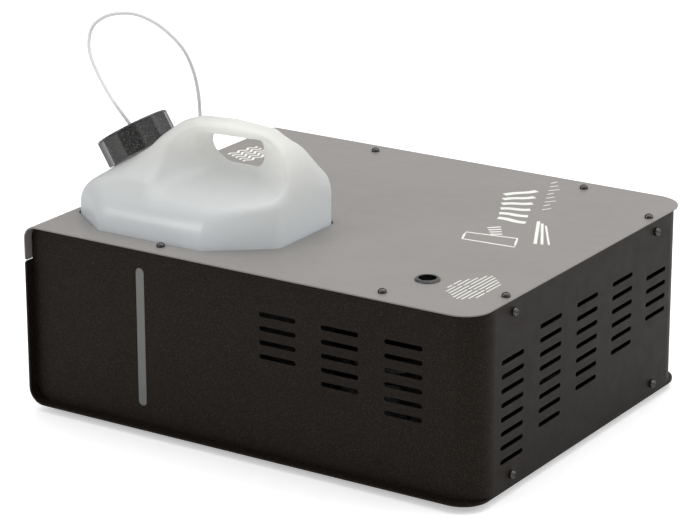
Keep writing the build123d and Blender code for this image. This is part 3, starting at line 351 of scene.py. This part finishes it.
# ---------------------------------------------------------------- bottle
def bottle_field(x, y, z):
    """Distance field of the bottle in mm: x from its middle, y from its mid plane, z from its foot."""
    plan = [(-109.5, 50), (-109.5, -50), (-59.5, -86), (55.5, -86), (109.5, -43), (109.5, 45.5), (55.5, 86),
            (-59.5, 86)]
    side = [(-140, 0), (140, 0), (140, 212), (98, 249.5), (72, 264), (30, 266.8), (-6, 265), (-22, 259.5),
            (-38, 247.5), (-140, 168)]
    flank = [(140, 127.5), (60, 214.5), (35, 227.1), (14, 238)]
    end = [(-140, -40), (140, -40)] + flank + [(-across, up) for across, up in reversed(flank)]
    # Plan of one hand scoop, from the mid plane outwards.
    scoop_plan = [(12, -16), (39, -16), (104, 25), (114, 50), (116, 110), (-19, 110), (-27, 24)]
    out = np.abs(y)
    # Roof: the side view's crest over sloping flanks, with the handle as a wall on the mid plane.
    flanks = smooth_min(rounded(y, z, end, 10), out - 17.0, 36)
    roof = smooth_max([rounded(x, z, side, 20), flanks], 14 + 6 * ramp(-x, 30, 60))
    body = smooth_max([rounded(x, y, plan, 12), roof], 12 + 8 * ramp(x, 20, 90))
    # The two scoops meet under the handle bar and leave the finger hole.
    floor = (225.6 - 0.33 * out - z) * 0.95
    web = -(0.673 * (x + 3) + 0.74 * (z - 250)) - out
    bar = (z - 254.5 - 0.03 * x - 1.2 * np.maximum(out - 13, 0)) * 0.8
    scoop = smooth_max([floor, web], 14)
    walls = rounded(x + 10 * ramp(y, 4, 24), out, scoop_plan, 8)
    scoop = smooth_max([scoop, walls], 20 - 8 * ramp(x, 20, 60))
    scoop = smooth_max([scoop, bar], 10 + 18 * ramp(-x, -20, 10))
    body = smooth_max([body, -scoop], 5)
    return smooth_max([body, -z], 8)


def neck_field(x, y, z, foot, axis):
    """Distance fields in mm of the tilted neck with its thread, its bore and the seat under the cap."""
    dx, dy, dz = x - foot[0], y - foot[1], z - foot[2]
    along = dx * axis[0] + dy * axis[1] + dz * axis[2]
    rx, ry, rz = dx - along * axis[0], dy - along * axis[1], dz - along * axis[2]
    radial = np.sqrt(rx * rx + ry * ry + rz * rz)
    across = rx * axis[2] - rz * axis[0]
    turn = np.arctan2(ry, across)
    outer_radius, bore_radius, seat_radius = 29.0, 27.0, 36.8
    pitch, thread_height = 6.0, 1.3
    thread_start, thread_end, rim, root = 1, 15.5, 17.0, -15.0
    phase = np.cos(2 * math.pi * along / pitch - turn)
    thread = thread_height * np.clip(phase, 0, 1) * (along > thread_start) * (along < thread_end)
    wall = radial - (outer_radius + thread)
    wall = smooth_max([wall, along - rim, root - along], 1.5)
    bore = smooth_max([radial - bore_radius, -12 - along], 1.0)
    # The shoulder is cut back under the cap, so the cap's skirt has room.
    seat = smooth_max([radial - seat_radius, -0.4 - along], 2.0)
    return wall, bore, seat


def make_bottle(materials):
    """Blow-moulded bottle, meshed from a distance field whose voxels are in mm."""
    low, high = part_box("fluid_bottle")
    origin = Vector(((low.x + high.x) / 2, (low.y + high.y) / 2, low.z))
    size = (high - low) / MM
    voxel = 1.5
    margin, band = 4 * voxel, 3 * voxel
    starts = (-size.x / 2 - margin, -size.y / 2 - margin, -margin)
    counts = [int(math.ceil((length + 2 * margin) / voxel)) for length in size]
    axes = [start + voxel * np.arange(count) for start, count in zip(starts, counts)]
    x, y, z = np.meshgrid(*axes, indexing="ij", sparse=True)
    foot = (CAP_FOOT - origin) / MM
    wall, bore, seat = neck_field(x, y, z, foot, CAP_AXIS)
    body = smooth_max([bottle_field(x, y, z), -seat], 2.5)
    field = np.maximum(smooth_min(body, wall, 3), -bore)
    field = np.clip(field, -band, band).astype(np.float32)
    grid = openvdb.FloatGrid(band)
    grid.copyFromArray(field)
    points, quads = grid.convertToQuads(0.0)
    points = (points * voxel + np.array(starts)) * MM + np.array(origin)
    faces = quads[:, ::-1]
    piece = new_piece("bottle_shell", points, faces, "natural_hdpe", "bottle", materials, ["fluid_bottle"])
    relax = piece.modifiers.new("relax", "SMOOTH")
    relax.factor = 0.5
    relax.iterations = 3


# ---------------------------------------------------------------- fluid tube
def smooth_path(points, steps):
    """Catmull-Rom curve through points."""
    points = [np.array(point, float) for point in points]
    padded = [2 * points[0] - points[1]] + points + [2 * points[-1] - points[-2]]
    path = []
    for p0, p1, p2, p3 in zip(padded, padded[1:], padded[2:], padded[3:]):
        for step in range(steps):
            t = step / steps
            path.append(0.5 * (2 * p1 + (p2 - p0) * t + (2 * p0 - 5 * p1 + 4 * p2 - p3) * t * t
                               + (3 * p1 - p0 - 3 * p2 + p3) * t ** 3))
    return path + [points[-1]]


def rounded_path(points, radius, steps=8):
    """Straight runs joined by bends."""
    points = [np.array(point, float) for point in points]
    path = [points[0]]
    for before, corner, after in zip(points, points[1:], points[2:]):
        back = (before - corner) / np.linalg.norm(before - corner)
        on = (after - corner) / np.linalg.norm(after - corner)
        for step in range(steps + 1):
            t = step / steps
            path.append(corner + back * radius * (1 - t) ** 2 + on * radius * t * t)
    return path + [points[-1]]


def tube_mesh(path, outer, inner, sides=16):
    """Hollow tube along a path, closed by a ring at each end."""
    path = np.array(path)
    ahead = np.gradient(path, axis=0)
    ahead /= np.linalg.norm(ahead, axis=1)[:, None]
    side = np.cross(ahead[0], (0, 1, 0))
    angles = 2 * math.pi * np.arange(sides) / sides
    vertices = []
    for centre, forward in zip(path, ahead):
        side = side - forward * np.dot(side, forward)
        side /= np.linalg.norm(side)
        up = np.cross(forward, side)
        ring = np.outer(np.cos(angles), side) + np.outer(np.sin(angles), up)
        vertices += [centre + outer * ring, centre + inner * ring]
    faces = []
    last = 2 * sides * (len(path) - 1)
    for i in range(sides):
        j = (i + 1) % sides
        for start in range(0, last, 2 * sides):
            a, b, c, d = start + i, start + j, start + 2 * sides + j, start + 2 * sides + i
            faces += [(a, b, c, d), (a + sides, d + sides, c + sides, b + sides)]
        faces += [(i, i + sides, j + sides, j), (last + i, last + j, last + j + sides, last + i + sides)]
    return np.concatenate(vertices), faces


def make_tube(materials):
    """Clear hose: a free loop from the cap to the cover, then along the base to the pump.

    Its points are in mm from the casing's middle.
    """
    shift = np.array((CASE_X / MM, 0, 0))
    start_height, rim_height = 23.6, 27
    inside_cap = np.array(CAP_FOOT + CAP_AXIS * start_height * MM) / MM - shift
    cap_rim = np.array(CAP_FOOT + CAP_AXIS * rim_height * MM) / MM - shift
    loop = [
        inside_cap, cap_rim, (-212, -88, 271), (-226, -85, 284), (-241, -80, 299), (-251, -76, 311),
        (-257, -71, 323), (-257, -65, 337), (-247, -58, 347), (-231, -51, 351), (-216, -43, 348.5),
        (-200, -32, 337), (-186, -20, 317), (-181.5, -10, 294.5), (-181.5, -2, 270), (-184.6, 4.7, 246),
        (-187, 11, 212), (-185.5, 14, 187),
    ]
    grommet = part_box("tube_grommet")
    drop = np.array((grommet[0] + grommet[1]) / 2) / MM - shift
    run = [drop, (drop[0], drop[1], 24), (30, 14, 24), (70, 100, 19.5), (70, 100, 33)]
    steps = 6
    bend_radius, outer, inner = 7, 1.75 * MM, 1.1 * MM
    path = smooth_path(loop, steps) + rounded_path(run, bend_radius)
    path = [(point + shift) * MM for point in path]
    vertices, faces = tube_mesh(path, outer, inner)
    piece = new_piece("fluid_hose", vertices, faces, "clear_tube", None, materials, ["fluid_tube"])
    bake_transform(piece)


def wire_mesh(path, radius, sides=12):
    """Solid round wire along a path."""
    rings = tube_mesh(path, radius, radius / 2, sides)[0].reshape(len(path), 2, sides, 3)[:, 0]
    last = (len(path) - 1) * sides
    faces = [tuple(range(sides))[::-1], tuple(range(last, last + sides))]
    for start in range(0, last, sides):
        for i in range(sides):
            j = (i + 1) % sides
            faces.append((start + i, start + j, start + sides + j, start + sides + i))
    return rings.reshape(-1, 3), faces


def make_spring(materials):
    """The pump's return spring, made at rest as an even helix of round wire. The real spring shortens towards the
    pump's outlet as the plunger rises.
    """
    low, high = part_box("pump_spring")
    middle = (low + high) / 2
    wire, turns, steps = 0.5 * MM, 5, 24
    radius = (high.x - low.x) / 2 - wire
    path = []
    for step in range(turns * steps + 1):
        angle = 2 * math.pi * step / steps
        height = low.z + wire + (high.z - low.z - 2 * wire) * step / (turns * steps)
        path.append((middle.x + radius * math.cos(angle), middle.y + radius * math.sin(angle), height))
    vertices, faces = wire_mesh(path, wire)
    piece = new_piece("return_spring", vertices, faces, "zinc_steel", "housing", materials, ["pump_spring"])
    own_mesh(piece)


# ---------------------------------------------------------------- print on the cover
class Strips:
    """Collects thin closed strips that lie just above the cover."""

    def __init__(self, low, high):
        self.low, self.high = low, high
        self.vertices, self.faces = [], []

    def add(self, points, width, closed=False):
        """A strip along points in mm from the casing's middle."""
        points = np.array(points, float)
        if closed:
            ahead = np.roll(points, -1, axis=0) - np.roll(points, 1, axis=0)
        else:
            ahead = np.gradient(points, axis=0)
        ahead /= np.linalg.norm(ahead, axis=1)[:, None]
        across = np.stack([-ahead[:, 1], ahead[:, 0]], 1) * width / 2
        first = len(self.vertices)
        for left, right in zip(points + across, points - across):
            for x, y, z in ((*left, self.low), (*right, self.low), (*right, self.high), (*left, self.high)):
                self.vertices.append((x * MM + CASE_X, y * MM, z))
        count = len(points)
        for k in range(count if closed else count - 1):
            a, b = first + 4 * k, first + 4 * ((k + 1) % count)
            for i in range(4):
                j = (i + 1) % 4
                self.faces.append((a + i, b + i, b + j, a + j))
        if not closed:
            end = first + 4 * (count - 1)
            self.faces += [(first, first + 1, first + 2, first + 3), (end + 3, end + 2, end + 1, end)]

    def wave(self, start, stop, width, height, cycles):
        """A ribbon that waves from start to stop."""
        start, stop = np.array(start, float), np.array(stop, float)
        t = np.linspace(0, 1, 8 * cycles + 1)[:, None]
        along = (stop - start) / np.linalg.norm(stop - start)
        aside = np.array((-along[1], along[0]))
        self.add(start + (stop - start) * t + aside * height * np.sin(2 * math.pi * cycles * t), width)


def make_print(materials):
    """Plain bars, waves and lines in place of the cover's print; none of them is a letter or a mark."""
    strips = Strips(TOP + 0.01 * MM, TOP + 0.1 * MM)
    for row in range(6):
        t = row / 5
        strips.wave((84 + 31 * t, 121 - 66 * t), (104 + 40 * t, 148 - 92 * t), 7.0, 1.2, 1)
    outline = [(112, 3), (136, 7), (161, 11), (166, -1), (171, -12), (145, -14), (119, -16), (115, -6)]
    strips.add(outline, 2.4, closed=True)
    for row in range(4):
        strips.add([(122 + 4 * row, 24 - 5 * row), (131 + 4 * row, 33 - 6 * row)], 2.8)
    for row, x in enumerate((152, 158, 164)):
        strips.add([(x, 66 - 4 * row), (x + 30, 6 + 2 * row)], 3.2 - 0.6 * row)
    for row in range(8):
        x, y = 103 + 4.9 * row, 177 - 11.2 * row
        strips.add([(x, y), (x + 3.0 + 2.0 * (row % 3), y + 7.0 + row % 3)], 1.7)
    lines = [(-140, -117), (-149, -110), (-152, -103), (-155, -95), (-159, -92), (-161, -95), (-160, -99),
             (-155, -103), (-150, -108)]
    for row, (low, high) in enumerate(lines):
        x = 178 + 4.3 * row
        gap = low + (high - low) * (0.35 + 0.05 * (row % 4))
        strips.add([(x, low), (x, gap)], 1.35)
        strips.add([(x, gap + 2.5), (x, high)], 1.35)
    for row in range(5):
        x, y = -213 + 6.5 * row, 92 - 3 * row
        strips.wave((x, y), (x + 7, y + 38), 2.6, 2.2, 3)
    new_piece(
        "cover_print", strips.vertices, strips.faces, "white_plastic", "housing", materials, smooth=False)


# ---------------------------------------------------------------- floor, light, camera
def area_light(name, place, target, size, power):
    """Soft box aimed at a target."""
    data = bpy.data.lights.new(name, "AREA")
    data.shape = "RECTANGLE"
    data.size, data.size_y = size
    data.energy = power
    light = bpy.data.objects.new(name, data)
    light.location = place
    light.rotation_mode = "QUATERNION"
    light.rotation_quaternion = (Vector(target) - Vector(place)).to_track_quat("-Z", "Y")
    bpy.context.scene.collection.objects.link(light)


def make_world():
    """White to the camera. For lighting it is bright above and to the far right, and dim on the near side."""
    world = bpy.data.worlds.new("studio")
    world.use_nodes = True
    bpy.context.scene.world = world
    tree = world.node_tree
    tree.nodes.clear()
    link = tree.links.new
    coords = tree.nodes.new("ShaderNodeTexCoord")
    split = tree.nodes.new("ShaderNodeSeparateXYZ")
    link(coords.outputs["Generated"], split.inputs[0])

    def compute(operation, a, b):
        node = tree.nodes.new("ShaderNodeMath")
        node.operation = operation
        for socket, value in zip(node.inputs, (a, b)):
            if isinstance(value, bpy.types.NodeSocket):
                link(value, socket)
            else:
                socket.default_value = value
        return node.outputs[0]

    above = compute("MAXIMUM", split.outputs["Z"], 0.0)
    far = compute("MULTIPLY", split.outputs["Y"], 0.8)
    far_right = compute("MAXIMUM", compute("ADD", compute("MULTIPLY", split.outputs["X"], 0.6), far), 0.0)
    level = compute("ADD", compute("MULTIPLY", above, 0.75), compute("MULTIPLY", far_right, 0.5))
    level = compute("ADD", level, 0.22)
    rays = tree.nodes.new("ShaderNodeLightPath")
    pick = tree.nodes.new("ShaderNodeMix")
    link(rays.outputs["Is Camera Ray"], pick.inputs["Factor"])
    link(level, pick.inputs[2])
    pick.inputs[3].default_value = 1.0
    background = tree.nodes.new("ShaderNodeBackground")
    link(pick.outputs[0], background.inputs["Strength"])
    background.inputs["Color"].default_value = (1, 1, 1, 1)
    output = tree.nodes.new("ShaderNodeOutputWorld")
    link(background.outputs[0], output.inputs["Surface"])


def make_floor():
    """Pale floor, wide enough to reach the horizon."""
    mesh = bpy.data.meshes.new("floor")
    sides, radius = 64, 40.0
    angles = [2 * math.pi * i / sides for i in range(sides)]
    ring = [(radius * math.cos(angle), radius * math.sin(angle), 0) for angle in angles]
    mesh.from_pydata(ring, [], [tuple(range(sides))])
    g = Graph("floor")
    grain = g.noise(40, 3)
    tone = g.mix(g.remap(grain, 0.3, 0.7), (0.80, 0.80, 0.80), (0.83, 0.83, 0.83))
    rays = g.add("ShaderNodeLightPath")
    glow = g.math("MULTIPLY", rays.outputs["Is Camera Ray"], 0.42)
    surface = g.principled(
        Base_Color=tone, Roughness=0.8, Emission_Color=(1, 1, 1, 1), Emission_Strength=glow)
    mesh.materials.append(g.finish(surface))
    floor = bpy.data.objects.new("floor", mesh)
    bpy.context.scene.collection.objects.link(floor)


def make_camera():
    """Long lens from the near right, a little above."""
    azimuth, elevation, roll = math.radians(32.8), math.radians(18.446), math.radians(-0.076)
    target = Vector((CASE_X - 0.015, 0.005, 0.128))
    distance = 2.8
    level = math.cos(elevation)
    back = Vector((math.sin(azimuth) * level, -math.cos(azimuth) * level, math.sin(elevation)))
    data = bpy.data.cameras.new("camera")
    data.lens = 153.7
    data.sensor_width = 36.0
    data.clip_end = 200
    camera = bpy.data.objects.new("camera", data)
    camera.location = target + back * distance
    camera.rotation_mode = "QUATERNION"
    aim = (-back).to_track_quat("-Z", "Y")
    camera.rotation_quaternion = aim @ Matrix.Rotation(roll, 3, "Z").to_quaternion()
    bpy.context.scene.collection.objects.link(camera)
    bpy.context.scene.camera = camera


# ---------------------------------------------------------------- scene
materials = make_materials()
dress_cad_nodes(materials)
make_bottle(materials)
make_tube(materials)
make_spring(materials)
make_print(materials)

make_world()
make_floor()
area_light("overhead", (-0.2, 0.5, 2.4), (0, 0, 0.1), (2.6, 2.2), 28)
area_light("side_fill", (2.3, 0.9, 1.3), (0.1, 0, 0.1), (1.0, 0.9), 8)
area_light("near_fill", (-1.6, -2.4, 1.5), (-0.1, 0, 0.2), (0.7, 0.6), 17)
make_camera()
bpy.context.scene.view_settings.view_transform = "Standard"
